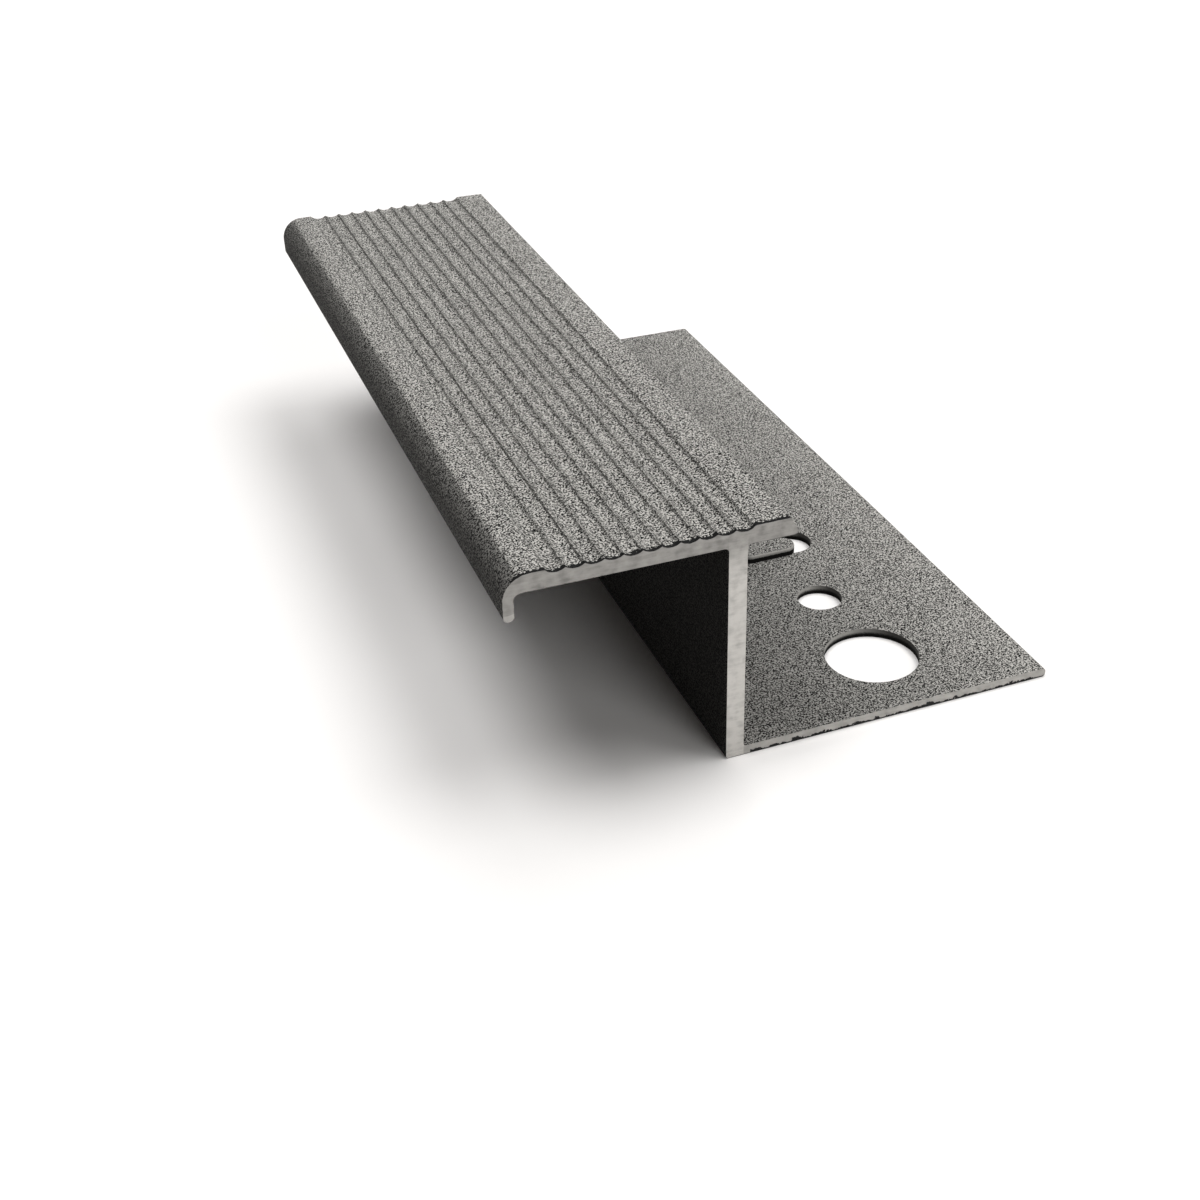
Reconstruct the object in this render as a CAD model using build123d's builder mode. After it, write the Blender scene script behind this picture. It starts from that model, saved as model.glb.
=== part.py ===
"""Stair nosing: a short length of extruded Z-section for the edge of a tiled step.

A grooved tread plate ends in a rounded nose that turns down over the riser. A web carries the tread
and stands on a thin punched flange, which the tile adhesive or screws hold down. The origin is under
the middle of the outline, on the floor. X runs across the step from the nose to the flange's edge,
Y along the nosing and Z up.
"""
import os
from math import hypot

from build123d import *

# Overall sizes, in millimetres
sample_length = 95.0
total_height = 25.0
nose_reach = 20.7
lip_reach = 6.9
flange_width = 35.5

# Walls
tread_thickness = 1.8
web_thickness = 1.8
flange_thickness = 1.0
leg_thickness = 1.0
leg_drop = 4.45

# Corners of the section
nose_radius = 2.5
leg_inner_radius = 0.7
web_top_radius = 0.45
flange_root_radius = 0.3
heel_radius = 0.2
lip_bevel = 1.0
lip_radius = 0.3
leg_tip_radius = 0.48
flange_tip_radius = 0.4

# Scalloped grip of the tread
groove_count = 11
groove_pitch = 1.745
grip_start = 16.75
scallop_depth = 0.3
ridge_sink = 0.12
ridge_radius = 0.1

# Punching of the flange, in one row along the nosing
row_distance = 20.3
first_punch = 8.9
punch_pitch = 12.0
end_margin = 2.0
adhesive_hole_diameter = 9.8
screw_hole_diameter = 4.9
slot_length = 9.3
slot_width = 4.8

# Tongue raised out of each slot
tongue_length = 6.9
tongue_width = 2.7
tongue_rise = 1.0
tongue_bite = 0.25
tongue_hold = 0.3
tongue_edge_radius = 0.3

tread_underside = total_height - tread_thickness

# The section is drawn from the foot of the web's front face, with the near end half a length back
web_front = (nose_reach - flange_width) / 2
near_end = -sample_length / 2
near_plane = Plane(origin=(web_front, near_end, 0), x_dir=(1, 0, 0), z_dir=(0, -1, 0))
floor_plane = Plane(origin=(web_front, near_end, 0))

# Scallop circles meet at the ridges, which lie a little below the flats on both sides
scallop_radius = (groove_pitch**2 / 4 + scallop_depth**2) / (2 * scallop_depth)
scallop_axis_height = total_height - ridge_sink - scallop_depth + scallop_radius
grip_width = groove_count * groove_pitch
grip_centre = grip_width / 2 - grip_start
ridge_height = total_height - ridge_sink


def corner(sketch, x, z):
    """The vertex of a section sketch nearest to x across and z up, which is Y on the sketch."""
    return sketch.vertices().sort_by(lambda v: hypot(v.X - x, v.Y - z))[0]


# Places of the punchings: round adhesive hole, screw hole, slot with its tongue, and so on
last_punch = sample_length - end_margin - max(adhesive_hole_diameter, slot_width) / 2
punch_count = int((last_punch - first_punch) / punch_pitch) + 1
punches = [(row_distance, first_punch + index * punch_pitch) for index in range(punch_count)]
adhesive_holes = punches[0::3]
screw_holes = punches[1::3]
slots = punches[2::3]

# The tongue's foot overlaps the slot's rim on the near side and at the web's end
tongue_shift_x = (tongue_length - slot_length) / 2 - tongue_hold
tongue_shift_y = (tongue_width - slot_width) / 2 - tongue_hold
tongues = [(x + tongue_shift_x, y + tongue_shift_y) for x, y in slots]

with BuildPart() as nosing_profile:
    # Section of the extrusion, drawn as seen from its near end
    with BuildSketch(near_plane) as section:
        with BuildLine():
            Polyline(
                (0, 0),
                (flange_width, 0),
                (flange_width, flange_thickness),
                (web_thickness, flange_thickness),
                (web_thickness, tread_underside),
                (lip_reach, tread_underside),
                (lip_reach - lip_bevel, total_height),
                (-nose_reach, total_height),
                (-nose_reach, total_height - leg_drop),
                (leg_thickness - nose_reach, total_height - leg_drop),
                (leg_thickness - nose_reach, tread_underside),
                (0, tread_underside),
                close=True,
            )
        make_face()
        fillet(corner(section, 0, 0), heel_radius)
        fillet(corner(section, web_thickness, flange_thickness), flange_root_radius)
        for flange_tip in (0, flange_thickness):
            fillet(corner(section, flange_width, flange_tip), flange_tip_radius)
        for web_face in (0, web_thickness):
            fillet(corner(section, web_face, tread_underside), web_top_radius)
        fillet(corner(section, lip_reach, tread_underside), lip_radius)
        fillet(corner(section, lip_reach - lip_bevel, total_height), lip_radius)
        fillet(corner(section, -nose_reach, total_height), nose_radius)
        fillet(corner(section, leg_thickness - nose_reach, tread_underside), leg_inner_radius)
        for leg_face in (-nose_reach, leg_thickness - nose_reach):
            fillet(corner(section, leg_face, total_height - leg_drop), leg_tip_radius)

        # Grooves of the grip, and the rounded crests left between them
        with Locations((grip_centre, scallop_axis_height)):
            with GridLocations(groove_pitch, groove_pitch, groove_count, 1):
                Circle(scallop_radius, mode=Mode.SUBTRACT)
        for crest in range(1, groove_count):
            fillet(corner(section, crest * groove_pitch - grip_start, ridge_height), ridge_radius)
    extrude(amount=-sample_length)

    with BuildSketch(floor_plane) as punching:
        with Locations(*adhesive_holes):
            Circle(adhesive_hole_diameter / 2)
        with Locations(*screw_holes):
            Circle(screw_hole_diameter / 2)
        with Locations(*slots):
            SlotOverall(slot_length, slot_width)
    extrude(amount=flange_thickness, mode=Mode.SUBTRACT)

    with BuildSketch(floor_plane.offset(flange_thickness - tongue_bite)) as tongue_outline:
        with Locations(*tongues):
            SlotOverall(tongue_length, tongue_width)
    extrude(amount=tongue_bite + tongue_rise)
    tongue_tops = nosing_profile.faces().filter_by(
        lambda face: abs(face.center().Z - flange_thickness - tongue_rise) < tongue_bite
        and face.center().X > web_front + web_thickness
    )
    fillet(tongue_tops.filter_by(GeomType.PLANE).edges(), tongue_edge_radius)

nosing_profile.part.label = "nosing_profile"

os.makedirs("parts", exist_ok=True)
export_step(nosing_profile.part, "parts/nosing_profile.step")
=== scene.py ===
"""Dresses a short length of stair nosing: fine-textured grey powder coat, bare sawn ends, studio."""
from math import radians

import bpy
from bpy.props import FloatProperty, FloatVectorProperty, PointerProperty
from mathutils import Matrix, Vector


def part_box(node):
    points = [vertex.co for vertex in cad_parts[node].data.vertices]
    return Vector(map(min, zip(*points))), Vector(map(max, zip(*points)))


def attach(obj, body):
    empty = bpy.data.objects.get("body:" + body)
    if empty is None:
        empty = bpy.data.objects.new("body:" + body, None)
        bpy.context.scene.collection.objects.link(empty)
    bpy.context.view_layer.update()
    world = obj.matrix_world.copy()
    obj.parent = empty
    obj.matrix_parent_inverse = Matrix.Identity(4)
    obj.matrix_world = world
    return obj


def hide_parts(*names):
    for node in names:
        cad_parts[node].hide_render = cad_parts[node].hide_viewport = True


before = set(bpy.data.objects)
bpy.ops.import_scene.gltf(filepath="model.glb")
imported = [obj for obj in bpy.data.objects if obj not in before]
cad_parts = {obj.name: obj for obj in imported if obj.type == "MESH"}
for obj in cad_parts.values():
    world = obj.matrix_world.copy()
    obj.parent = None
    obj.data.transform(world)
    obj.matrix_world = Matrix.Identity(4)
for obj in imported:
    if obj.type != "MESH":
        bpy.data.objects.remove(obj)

bl_info = {
    "name": "Stair Nosing Looks",
    "version": (1, 0, 0),
    "blender": (4, 5, 0),
    "location": "View3D > Sidebar > Nosing",
    "description": "Powder coat, sawn ends and studio for a stair nosing sample",
    "category": "Object",
}

MM = 0.001
NODE = "nosing_profile"
LOW, HIGH = (Vector(point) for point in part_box(NODE))

# Places across the section, from the nose towards the flange's edge
LEG_RIGHT = LOW.x + 1.2 * MM
NOSE_RIGHT = LOW.x + 2.6 * MM
GRIP_LEFT = LOW.x + 3.6 * MM
WEB_MIDDLE = LOW.x + 21.6 * MM
PUNCHED_LEFT = LOW.x + 23.5 * MM
PUNCHED_RIGHT = HIGH.x - 1 * MM

# Half of the web's thickness and a hair more
WEB_HALF = 0.92 * MM

# Heights on the section, from the floor up
FLANGE_TOP = 1 * MM
TONGUE_SHOULDER = 1.6 * MM
TONGUE_TOP = 2 * MM
MID_HEIGHT = 15 * MM
LEG_TIP = 20.9 * MM
TREAD_BOTTOM = HIGH.z - 1.5 * MM
GRIP_BOTTOM = HIGH.z - 0.6 * MM

# Margin that tests of height leave
SLACK = 0.1 * MM

# Order of the materials on the nosing
TEXTURED, SMOOTH, SAWN = range(3)


class NosingCoat(bpy.types.PropertyGroup):
    # The dark grain colour is also the colour that the painted shade darkens the coat towards
    dark: FloatVectorProperty(
        name="Dark Grain",
        description="Colour of the hollows between the grains of the coat",
        subtype="COLOR", size=3, min=0, max=1, default=(0.004, 0.004, 0.004),
    )
    light: FloatVectorProperty(
        name="Light Grain",
        description="Colour of the raised grains of the coat",
        subtype="COLOR", size=3, min=0, max=1, default=(0.54, 0.527, 0.496),
    )
    smooth: FloatVectorProperty(
        name="Hole Walls",
        description="Colour of the thin smooth coat inside the punched holes",
        subtype="COLOR", size=3, min=0, max=1, default=(0.64, 0.625, 0.588),
    )
    grain: FloatProperty(
        name="Grain Size",
        description="Size of one grain of the textured coat",
        unit="LENGTH", default=0.16 * MM,
    )
    relief: FloatProperty(
        name="Grain Relief",
        description="Height of the grains above the hollows",
        unit="LENGTH", default=0.03 * MM,
    )
    # These shade factors darken the coat's colour as painted shade where less light falls, not as a change
    # in the coat itself
    ridge_shade: FloatProperty(
        name="Ridge Shade",
        description="Tone that the coat loses on the ridge flanks that face the nose",
        subtype="FACTOR", min=0, max=1, default=0.85,
    )
    lip_side_shade: FloatProperty(
        name="Lip Side Shade",
        description="Tone that the coat loses on the ridge flanks that face the lip",
        subtype="FACTOR", min=0, max=1, default=0.3,
    )
    nose_shade: FloatProperty(
        name="Nose Shade",
        description="Tone that the coat loses down the nose's side",
        subtype="FACTOR", min=0, max=1, default=0.6,
    )
    channel_shade: FloatProperty(
        name="Channel Shade",
        description="Tone that the coat loses in the channel under the tread",
        subtype="FACTOR", min=0, max=1, default=0.8,
    )
    flange_shade: FloatProperty(
        name="Flange Shade",
        description="Tone that the coat loses on the flange beside the web",
        subtype="FACTOR", min=0, max=1, default=0.4,
    )


class NosingCut(bpy.types.PropertyGroup):
    metal: FloatVectorProperty(
        name="Bare Metal",
        description="Colour of the sawn aluminium",
        subtype="COLOR", size=3, min=0, max=1, default=(0.302, 0.294, 0.279),
    )
    # The coat edge colour also serves as painted shade along the top of the cut and as painted contact
    # shadow along the floor
    coat_edge_and_shade: FloatVectorProperty(
        name="Coat Edge",
        description="Colour of the coat where the saw cut through it or chipped it",
        subtype="COLOR", size=3, min=0, max=1, default=(0.008, 0.008, 0.008),
    )
    rim: FloatProperty(
        name="Rim Width",
        description="Width of the band along the outline of a sawn end",
        unit="LENGTH", default=0.09 * MM,
    )
    saw_mark: FloatProperty(
        name="Saw Mark Spacing",
        description="Distance between the marks that the saw teeth left",
        unit="LENGTH", default=0.35 * MM,
    )


class NosingStudio(bpy.types.PropertyGroup):
    right_power: FloatProperty(
        name="Right Light",
        description="Strength of the high soft light on the flange's side",
        default=1.13,
    )
    top_power: FloatProperty(
        name="Top Light",
        description="Strength of the soft light from nearly straight above, on the nose's side",
        default=1.39,
    )
    front_power: FloatProperty(
        name="Front Light",
        description="Strength of the low soft light on the near end",
        default=0.875,
    )
    back_power: FloatProperty(
        name="Back Light",
        description="Strength of the low soft light behind the far end",
        default=0.72,
    )
    side_power: FloatProperty(
        name="Side Light",
        description="Strength of the high soft light beyond the flange's far corner",
        default=0.638,
    )
    spread: FloatProperty(
        name="Light Spread",
        description="Angle that each light fills; a wide one gives soft shadows",
        subtype="ANGLE", default=radians(30),
    )
    fill_power: FloatProperty(
        name="Fill",
        description="Strength of the even light from all round",
        default=0.055,
    )
    fill_colour: FloatVectorProperty(
        name="Fill Colour",
        description="Colour of the even light from all round",
        subtype="COLOR", size=3, min=0, max=1, default=(1, 0.93, 0.87),
    )
    floor: FloatVectorProperty(
        name="Floor",
        description="Colour of the floor as the camera and shiny metal see it",
        subtype="COLOR", size=3, min=0, max=1, default=(0.96, 0.944, 0.93),
    )
    bounce: FloatVectorProperty(
        name="Floor Bounce",
        description="Colour of the floor for the light that it throws back on the object",
        subtype="COLOR", size=3, min=0, max=1, default=(0.06, 0.056, 0.052),
    )
    lens: FloatProperty(
        name="Lens",
        description="Focal length of the camera",
        unit="CAMERA", default=48.315,
    )


def new_material(name):
    """A new material with its node tree and its Principled shader."""
    material = bpy.data.materials.new(name)
    material.use_nodes = True
    tree = material.node_tree
    return material, tree, tree.nodes["Principled BSDF"]


def feed(tree, value, slot):
    """Feeds an input with a socket, a number or a colour of three channels."""
    if isinstance(value, bpy.types.NodeSocket):
        tree.links.new(value, slot)
    elif slot.type == "RGBA":
        slot.default_value = (*value, 1)
    else:
        slot.default_value = value


def calc(tree, operation, *values):
    """One Math node with the operation, on sockets or numbers."""
    node = tree.nodes.new("ShaderNodeMath")
    node.operation = operation
    for slot, value in zip(node.inputs, values):
        feed(tree, value, slot)
    return node.outputs[0]


def product(tree, first, *others):
    """All the values multiplied together."""
    for value in others:
        first = calc(tree, "MULTIPLY", first, value)
    return first


def greatest(tree, first, *others):
    """The greatest of the values."""
    for value in others:
        first = calc(tree, "MAXIMUM", first, value)
    return first


def above(tree, value, limit):
    """1 where value is above limit, else 0."""
    return calc(tree, "GREATER_THAN", value, limit)


def below(tree, value, limit):
    """1 where value is below limit, else 0."""
    return calc(tree, "LESS_THAN", value, limit)


def rise(tree, value, start, end, top=1.0):
    """0 where value is start or before it, rising to top where it is end or past it."""
    node = tree.nodes.new("ShaderNodeMapRange")
    feed(tree, value, node.inputs["Value"])
    for name, number in (("From Min", start), ("From Max", end), ("To Max", top)):
        feed(tree, number, node.inputs[name])
    return node.outputs["Result"]


def own_place(tree):
    """The place on the nosing, in metres from its origin."""
    return tree.nodes.new("ShaderNodeTexCoord").outputs["Object"]


def split(tree, vector):
    """The X, Y and Z of a vector."""
    node = tree.nodes.new("ShaderNodeSeparateXYZ")
    tree.links.new(vector, node.inputs[0])
    return node.outputs["X"], node.outputs["Y"], node.outputs["Z"]


def facing(tree):
    """The X, Y and Z of the way the surface looks."""
    return split(tree, tree.nodes.new("ShaderNodeTexCoord").outputs["Normal"])


def mapped(tree, place, turn, stretch=(1, 1, 1)):
    """The place scaled by stretch and then turned."""
    node = tree.nodes.new("ShaderNodeMapping")
    node.inputs["Rotation"].default_value = turn
    node.inputs["Scale"].default_value = stretch
    tree.links.new(place, node.inputs["Vector"])
    return node.outputs["Vector"]


def noise(tree, place, size, detail=2.0, roughness=0.5):
    """Noise whose features are about size metres across."""
    node = tree.nodes.new("ShaderNodeTexNoise")
    node.inputs["Scale"].default_value = 1 / size
    node.inputs["Detail"].default_value = detail
    node.inputs["Roughness"].default_value = roughness
    tree.links.new(place, node.inputs["Vector"])
    return node.outputs["Fac"]


def swing(tree, pattern, middle, reach):
    """The pattern's distance from middle, times reach."""
    return product(tree, calc(tree, "SUBTRACT", pattern, middle), reach)


def scaled(colour, factor):
    """The colour made lighter or darker by factor, and never over 1."""
    return tuple(min(1.0, channel * factor) for channel in colour)


def ramp(tree, factor, stops):
    """Colour ramp through (position, colour) stops."""
    node = tree.nodes.new("ShaderNodeValToRGB")
    elements = node.color_ramp.elements
    while len(elements) < len(stops):
        elements.new(0.5)
    for element, (position, colour) in zip(elements, stops):
        element.position = position
        element.color = (*colour, 1)
    tree.links.new(factor, node.inputs["Fac"])
    return node.outputs["Color"]


def blend(tree, factor, first, second):
    """Colour that goes from first to second with factor."""
    node = tree.nodes.new("ShaderNodeMix")
    node.data_type = "RGBA"
    for name, value in (("Factor", factor), ("A", first), ("B", second)):
        feed(tree, value, node.inputs[name])
    return node.outputs["Result"]


def add_relief(tree, shader, height, distance, strength):
    """Gives the shader a bump that stands up by distance where height is 1."""
    node = tree.nodes.new("ShaderNodeBump")
    node.inputs["Distance"].default_value = distance
    node.inputs["Strength"].default_value = strength
    tree.links.new(height, node.inputs["Height"])
    tree.links.new(node.outputs["Normal"], shader.inputs["Normal"])


def seen_rays(tree):
    """1 for what the camera sees, straight or mirrored in metal, and 0 for the light on the object."""
    path = tree.nodes.new("ShaderNodeLightPath")
    return greatest(tree, path.outputs["Is Camera Ray"], path.outputs["Is Glossy Ray"])


def top_chips_and_shade(tree, place):
    """1 where the coat is dark, up to a few tenths of a millimetre in from the tread's near end: partly
    chips from the saw and partly painted shade along the cut edge.
    """
    _, y, z = split(tree, place)
    _, _, upward = facing(tree)
    ragged = noise(tree, place, 0.4 * MM)
    reach = product(tree, calc(tree, "POWER", ragged, 2), 1.5 * MM)
    near_end = below(tree, calc(tree, "SUBTRACT", y, LOW.y), reach)
    return product(tree, near_end, above(tree, z, MID_HEIGHT), above(tree, upward, 0.75))


def painted_ridge_shade(tree, look, place):
    """Painted shade on the steep flanks of the grip's ridges, most where they face the nose."""
    x, _, z = split(tree, place)
    sideways, _, _ = facing(tree)
    nose_side = rise(tree, sideways, -0.38, -0.54, look.ridge_shade)
    lip_side = rise(tree, sideways, 0.3, 0.5, look.lip_side_shade)
    on_grip = product(tree, above(tree, x, GRIP_LEFT), above(tree, z, GRIP_BOTTOM))
    # The last groove, over the web, shows fainter than the others
    last_groove = above(tree, x, WEB_MIDDLE + 0.6 * MM)
    strength = calc(tree, "SUBTRACT", 1, product(tree, last_groove, 0.35))
    return product(tree, greatest(tree, nose_side, lip_side), on_grip, strength)


def painted_coat_shade(tree, look, place):
    """Painted shade: the coat darkened down the nose's side, in the channel under the tread, and on the
    flange towards the web.
    """
    x, _, z = split(tree, place)
    sideways, _, upward = facing(tree)
    downhill = rise(tree, sideways, -0.25, -0.5, look.nose_shade)
    down_nose = product(tree, downhill, below(tree, x, NOSE_RIGHT))
    inward = greatest(tree, below(tree, sideways, -0.6), below(tree, upward, -0.6))
    under_tread = product(tree, above(tree, x, NOSE_RIGHT), below(tree, z, TREAD_BOTTOM))
    in_channel = product(tree, inward, under_tread, look.channel_shade)
    # The flange's painted shade is whole within 15 mm of the web and fades out near the flange's edge
    towards_web = rise(tree, x, WEB_MIDDLE + 34 * MM, WEB_MIDDLE + 15 * MM, look.flange_shade)
    on_flange = product(tree, towards_web, below(tree, z, TONGUE_TOP + 2 * SLACK))
    return greatest(tree, down_nose, in_channel, on_flange)


def textured_coat(look, chipped):
    """Speckled coat, with pale grains over dark hollows, painted shade, and a dark edge along its sawn end
    that is partly chips and partly painted shade.
    """
    material, tree, shader = new_material("textured_grey_coat")
    place = own_place(tree)
    # The grain is turned, because noise is faint on a face that lies along its own grid
    turned = mapped(tree, place, (radians(37), radians(23), radians(15)))
    grains = noise(tree, turned, look.grain, detail=1.0, roughness=0.6)
    # Clouds of some thirty grains across are a touch lighter or darker than the rest
    clouds = noise(tree, place, look.grain * 30, detail=1.0)
    level = calc(tree, "MULTIPLY_ADD", clouds, 0.02, grains)
    # The slopes between hollow and grain are about a quarter as bright as the grains
    middle = tuple((low + high) * 0.27 for low, high in zip(look.dark, look.light))
    speckled = ramp(tree, level, ((0.42, look.dark), (0.5, middle), (0.59, look.light)))
    # Painted shade: dark lines on the ridge flanks, then the nose's side, the channel and the flange by the
    # web darkened
    with_ridge_shade = blend(tree, painted_ridge_shade(tree, look, place), speckled, scaled(middle, 0.2))
    shaded = blend(tree, painted_coat_shade(tree, look, place), with_ridge_shade, look.dark)
    # The tread's near top edge gets the dark of chips and of painted shade
    feed(tree, blend(tree, top_chips_and_shade(tree, place), shaded, chipped), shader.inputs["Base Color"])
    add_relief(tree, shader, grains, look.relief, strength=0.8)
    shader.inputs["Roughness"].default_value = 0.7
    shader.inputs["Specular IOR Level"].default_value = 0.03
    return material


def smooth_coat(look):
    """Thin coat on the walls of the punchings and tongues, in pale and black bands one above the other; the
    black bands are painted shade.
    """
    material, tree, shader = new_material("smooth_grey_coat")
    place = own_place(tree)
    _, _, z = split(tree, place)
    sideways, _, _ = facing(tree)
    wobble = swing(tree, noise(tree, place, look.grain), 0.5, 0.25 * MM)
    height = calc(tree, "DIVIDE", calc(tree, "ADD", z, wobble), TONGUE_TOP)
    black, darker, pale = (scaled(look.smooth, factor) for factor in (0.01, 0.2, 0.58))
    # From the floor to the tops of the tongues; the holes' walls end half way up
    # Painted shade: black at the floor is contact shadow, and black on the tongues' lower sides is the
    # shadow of the gap beneath them
    bands = (
        (0.16, black), (0.22, darker), (0.33, look.smooth), (0.485, look.smooth), (0.51, black),
        (0.76, black), (0.82, pale), (0.95, pale), (0.985, darker),
    )
    # Painted shade: walls that face the nose go dark
    nose_side = rise(tree, sideways, 0, -0.8, 0.8)
    feed(tree, blend(tree, nose_side, ramp(tree, height, bands), black), shader.inputs["Base Color"])
    shader.inputs["Roughness"].default_value = 0.7
    shader.inputs["Specular IOR Level"].default_value = 0.05
    return material


def bright_share(tree, place, tone):
    """Share of bright metal: streaks on the web's end, and less on the leg's tip and the flange's end."""
    x, _, z = split(tree, place)
    aside = calc(tree, "ABSOLUTE", calc(tree, "SUBTRACT", x, WEB_MIDDLE))
    below_tread = rise(tree, z, HIGH.z - 0.8 * MM, HIGH.z - 5 * MM)
    streaks = calc(tree, "SUBTRACT", product(tree, tone, 2), 0.12)
    on_web = product(tree, below(tree, aside, WEB_HALF), below_tread, streaks)
    ragged_tip = calc(tree, "MULTIPLY_ADD", tone, 0.8 * MM, LEG_TIP)
    on_tip = product(tree, below(tree, x, LEG_RIGHT), below(tree, z, ragged_tip), 0.4)
    beside_web = above(tree, x, WEB_MIDDLE + WEB_HALF)
    on_flange = product(tree, below(tree, z, FLANGE_TOP + SLACK), beside_web, tone, 0.75)
    return greatest(tree, on_web, on_tip, on_flange)


def flange_chips_and_shadow(tree, place):
    """1 on the ragged black along the lower edge of the flange's end: partly chips and partly painted
    contact shadow where it meets the floor.
    """
    x, _, z = split(tree, place)
    coarse = noise(tree, place, 1.1 * MM, detail=3.0, roughness=0.7)
    reach = greatest(tree, swing(tree, coarse, 0.34, 1.6 * MM), 0.13 * MM)
    return product(tree, below(tree, z, reach), above(tree, x, WEB_MIDDLE + 1.6 * MM))


def sawn_metal(look):
    """Bare aluminium with faint saw marks and, along the outline, the ragged dark edge of the coat, partly
    painted shade, with painted contact shadow along the floor.
    """
    material, tree, shader = new_material("sawn_aluminium")
    place = own_place(tree)
    along_cut = mapped(tree, place, (0, radians(-9), 0), stretch=(0.16, 1, 1))
    marks = noise(tree, along_cut, look.saw_mark, detail=4.0, roughness=0.65)
    mottle = noise(tree, place, look.saw_mark * 2.5, detail=3.0)
    tone = calc(tree, "ADD", product(tree, marks, 0.45), product(tree, mottle, 0.55))
    darker, lighter, bright = (scaled(look.metal, factor) for factor in (0.7, 1.22, 2.0))
    dull = ramp(tree, tone, ((0.35, darker), (0.5, look.metal), (0.65, lighter)))
    metal = blend(tree, bright_share(tree, place, tone), dull, bright)

    # The rim attribute is 1 where the cut edge of the coat shows dark, partly as painted shade, and along
    # the floor as painted contact shadow; noise makes that line ragged
    rim = tree.nodes.new("ShaderNodeAttribute")
    rim.attribute_name = "rim"
    ragged = swing(tree, noise(tree, place, look.saw_mark), 0.5, 0.9)
    line = rise(tree, calc(tree, "ADD", rim.outputs["Fac"], ragged), 0.42, 0.58)
    dark = greatest(tree, line, flange_chips_and_shadow(tree, place))
    feed(tree, blend(tree, dark, metal, look.coat_edge_and_shade), shader.inputs["Base Color"])

    add_relief(tree, shader, marks, 0.02 * MM, strength=0.6)
    shader.inputs["Metallic"].default_value = 0.7
    shader.inputs["Roughness"].default_value = 0.45
    return material


def on_sawn_end(face):
    """Whether the saw left the face, at either end of the nosing."""
    to_end = min(abs(face.center.y - LOW.y), abs(face.center.y - HIGH.y))
    return abs(face.normal.y) > 0.99 and to_end < 0.05 * MM


def in_punching(face):
    """Whether the face is a wall of a hole or slot, or a side or rounded edge of a tongue."""
    x, height = face.center.x, face.center.z
    wall = abs(face.normal.z) < 0.05 and height < TONGUE_TOP + SLACK
    tongue_edge = 0 < face.normal.z < 0.97 and TONGUE_SHOULDER < height < TONGUE_TOP + SLACK
    return (wall or tongue_edge) and PUNCHED_LEFT < x < PUNCHED_RIGHT


class OBJECT_OT_nosing_body(bpy.types.Operator):
    """Make the coated profile with its sawn end faces from the frame's nosing"""

    bl_idname = "object.nosing_body"
    bl_label = "Coated Nosing"

    def execute(self, context):
        coat, cut = context.scene.nosing_coat, context.scene.nosing_cut
        body = self.copy_node(context)
        for material in (textured_coat(coat, cut.coat_edge_and_shade), smooth_coat(coat), sawn_metal(cut)):
            body.data.materials.append(material)
        self.inset_sawn_ends(body, cut.rim)
        for face in body.data.polygons:
            if on_sawn_end(face):
                face.material_index = SAWN
            elif in_punching(face):
                face.material_index = SMOOTH
            else:
                face.material_index = TEXTURED
        self.mark_rim(body)
        bpy.ops.object.shade_smooth_by_angle(angle=radians(32))
        body.modifiers.new("flat_faces_stay_flat", "WEIGHTED_NORMAL").keep_sharp = True
        bpy.ops.object.modifier_apply(modifier="flat_faces_stay_flat")
        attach(body, "root")
        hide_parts(NODE)
        return {"FINISHED"}

    @staticmethod
    def copy_node(context):
        """A selected copy of the frame's nosing, with its own mesh and without materials."""
        bpy.ops.object.select_all(action="DESELECT")
        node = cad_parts[NODE]
        body = node.copy()
        body.data = node.data.copy()
        body.name = "coated_nosing"
        body.data.name = "coated_nosing"
        context.collection.objects.link(body)
        context.view_layer.objects.active = body
        body.select_set(True)
        body.data.materials.clear()
        return body

    @staticmethod
    def inset_sawn_ends(body, width):
        """Joins the flat faces, and gives the sawn ends a narrow rim for the cut edge of the coat."""
        bpy.ops.object.mode_set(mode="EDIT")
        bpy.ops.mesh.select_mode(type="FACE")
        bpy.ops.mesh.select_all(action="SELECT")
        bpy.ops.mesh.remove_doubles(threshold=0.001 * MM)
        bpy.ops.mesh.dissolve_limited(angle_limit=radians(0.3))
        bpy.ops.object.mode_set(mode="OBJECT")
        for face in body.data.polygons:
            face.select = on_sawn_end(face)
        bpy.ops.object.mode_set(mode="EDIT")
        bpy.ops.mesh.inset(thickness=width, depth=0)
        bpy.ops.object.mode_set(mode="OBJECT")

    @staticmethod
    def mark_rim(body):
        """Sets the rim attribute where the cut edge of the coat shows dark round the sawn ends, partly as
        painted shade, and along the floor as painted contact shadow.
        """
        # The line is whole on top of the tread and at the floor, and broken round the nose and its leg; at
        # the floor it is painted contact shadow
        whole_line, broken_line = 1.0, 0.62
        rim = body.data.attributes.new("rim", "FLOAT", "POINT")
        sides = {}
        for face in body.data.polygons:
            if face.material_index != SAWN:
                for index in face.vertices:
                    sides.setdefault(index, []).append(face.normal)
        for index, normals in sides.items():
            place = body.data.vertices[index].co
            on_top = place.z > MID_HEIGHT and max(normal.z for normal in normals) > 0.85
            on_floor = place.z < FLANGE_TOP and min(normal.z for normal in normals) < -0.5
            if on_top or on_floor:
                rim.data[index].value = whole_line
            elif place.z > MID_HEIGHT and place.x < NOSE_RIGHT:
                rim.data[index].value = broken_line


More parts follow.
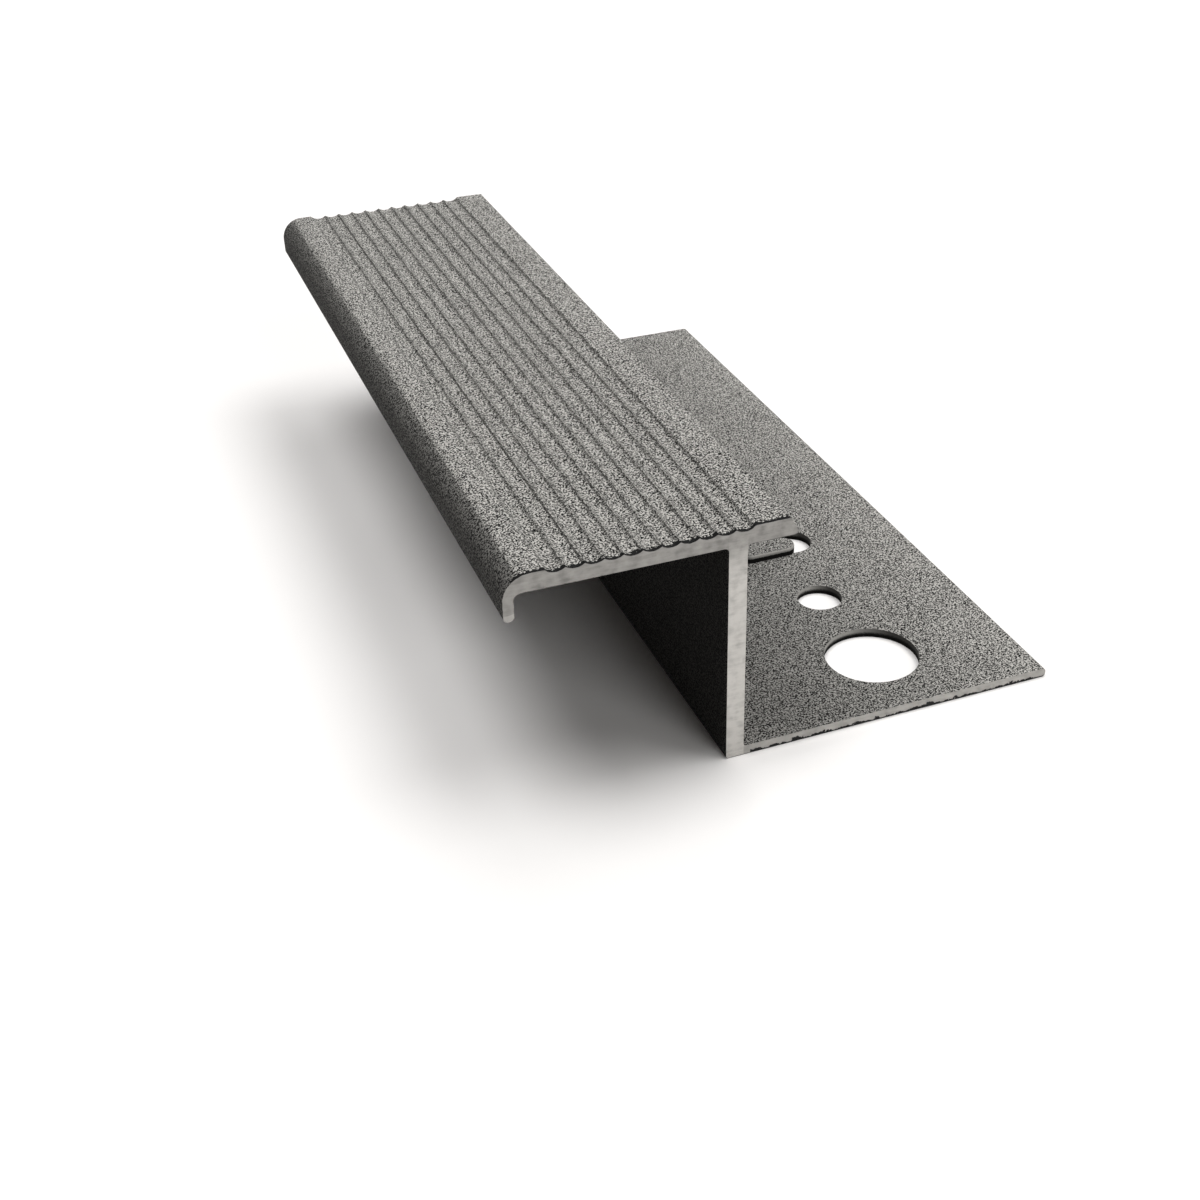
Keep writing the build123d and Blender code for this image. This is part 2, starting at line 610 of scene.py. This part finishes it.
class OBJECT_OT_nosing_studio(bpy.types.Operator):
    """Make the floor, the lights and the camera"""

    bl_idname = "object.nosing_studio"
    bl_label = "Studio"

    def execute(self, context):
        look = context.scene.nosing_studio
        self.make_floor(context, look)
        self.make_world(context, look)
        self.make_lights(context, look)
        self.make_camera(context, look)
        context.scene.view_settings.view_transform = "Standard"
        return {"FINISHED"}

    @staticmethod
    def make_floor(context, look):
        """A pale floor a hair below the flange, which throws little light back up."""
        size, gap = 6, 0.02 * MM
        bpy.ops.object.select_all(action="DESELECT")
        bpy.ops.mesh.primitive_plane_add(size=size, location=(0, 0, -gap))
        floor = context.object
        floor.name = "floor"
        material, tree, shader = new_material("white_floor")
        feed(tree, blend(tree, seen_rays(tree), look.bounce, look.floor), shader.inputs["Base Color"])
        shader.inputs["Roughness"].default_value = 0.9
        shader.inputs["Specular IOR Level"].default_value = 0.0
        floor.data.materials.append(material)

    @staticmethod
    def make_world(context, look):
        """A white backdrop for the camera and shiny metal, and a faint even light for the rest."""
        world = bpy.data.worlds.new("studio")
        context.scene.world = world
        world.use_nodes = True
        tree = world.node_tree
        fill = tree.nodes["Background"]
        fill.inputs["Color"].default_value = (*look.fill_colour, 1)
        fill.inputs["Strength"].default_value = look.fill_power
        backdrop = tree.nodes.new("ShaderNodeBackground")
        backdrop.inputs["Color"].default_value = (1, 1, 1, 1)
        backdrop.inputs["Strength"].default_value = 1.0
        choose = tree.nodes.new("ShaderNodeMixShader")
        sources = (seen_rays(tree), fill.outputs[0], backdrop.outputs[0])
        for slot, source in zip(choose.inputs, sources):
            tree.links.new(source, slot)
        tree.links.new(choose.outputs[0], tree.nodes["World Output"].inputs["Surface"])

    @staticmethod
    def make_lights(context, look):
        """Soft lamps all round, whose overlapping shadows make the one under the tread."""
        # Each lamp's height above the floor and its bearing round from the flange's side, in degrees
        lamps = (
            ("right_light", look.right_power, 65, 342),
            ("top_light", look.top_power, 75, 150),
            ("front_light", look.front_power, 25, 285),
            ("back_light", look.back_power, 20, 75),
            ("side_light", look.side_power, 65, 45),
        )
        for name, power, height, bearing in lamps:
            turn = (radians(90 - height), 0, radians(bearing + 90))
            bpy.ops.object.light_add(type="SUN", location=(0, 0, 0.4), rotation=turn)
            lamp = context.object
            lamp.name = name
            lamp.data.energy = power
            lamp.data.angle = look.spread

    @staticmethod
    def make_camera(context, look):
        """The camera where the photo was taken from, above and to the left of the near end."""
        place = Vector((-57.358, -157.834, 94.637)) * MM
        turn = (radians(56.58), radians(0.3291), radians(-22.2562))
        bpy.ops.object.camera_add(location=place, rotation=turn)
        camera = context.object
        camera.name = "photo_camera"
        camera.data.lens = look.lens
        camera.data.sensor_width = 36
        camera.data.shift_x = -0.0613
        camera.data.shift_y = 0.0245
        camera.data.clip_start = 5 * MM
        context.scene.camera = camera


class VIEW3D_PT_nosing(bpy.types.Panel):
    """Lists the pieces and their settings in the sidebar"""

    bl_label = "Stair Nosing"
    bl_idname = "VIEW3D_PT_nosing"
    bl_space_type = "VIEW_3D"
    bl_region_type = "UI"
    bl_category = "Nosing"

    def draw(self, context):
        scene = context.scene
        for settings in (scene.nosing_coat, scene.nosing_cut, scene.nosing_studio):
            box = self.layout.box()
            for name in settings.__annotations__:
                box.prop(settings, name)
        for operator in (OBJECT_OT_nosing_body, OBJECT_OT_nosing_studio):
            self.layout.operator(operator.bl_idname)


CLASSES = (
    NosingCoat,
    NosingCut,
    NosingStudio,
    OBJECT_OT_nosing_body,
    OBJECT_OT_nosing_studio,
    VIEW3D_PT_nosing,
)


def register():
    for item in CLASSES:
        bpy.utils.register_class(item)
    bpy.types.Scene.nosing_coat = PointerProperty(type=NosingCoat)
    bpy.types.Scene.nosing_cut = PointerProperty(type=NosingCut)
    bpy.types.Scene.nosing_studio = PointerProperty(type=NosingStudio)


def unregister():
    del bpy.types.Scene.nosing_studio
    del bpy.types.Scene.nosing_cut
    del bpy.types.Scene.nosing_coat
    for item in reversed(CLASSES):
        bpy.utils.unregister_class(item)


def main():
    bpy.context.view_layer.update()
    register()
    bpy.ops.object.nosing_body()
    bpy.ops.object.nosing_studio()


if __name__ == "__main__":
    main()
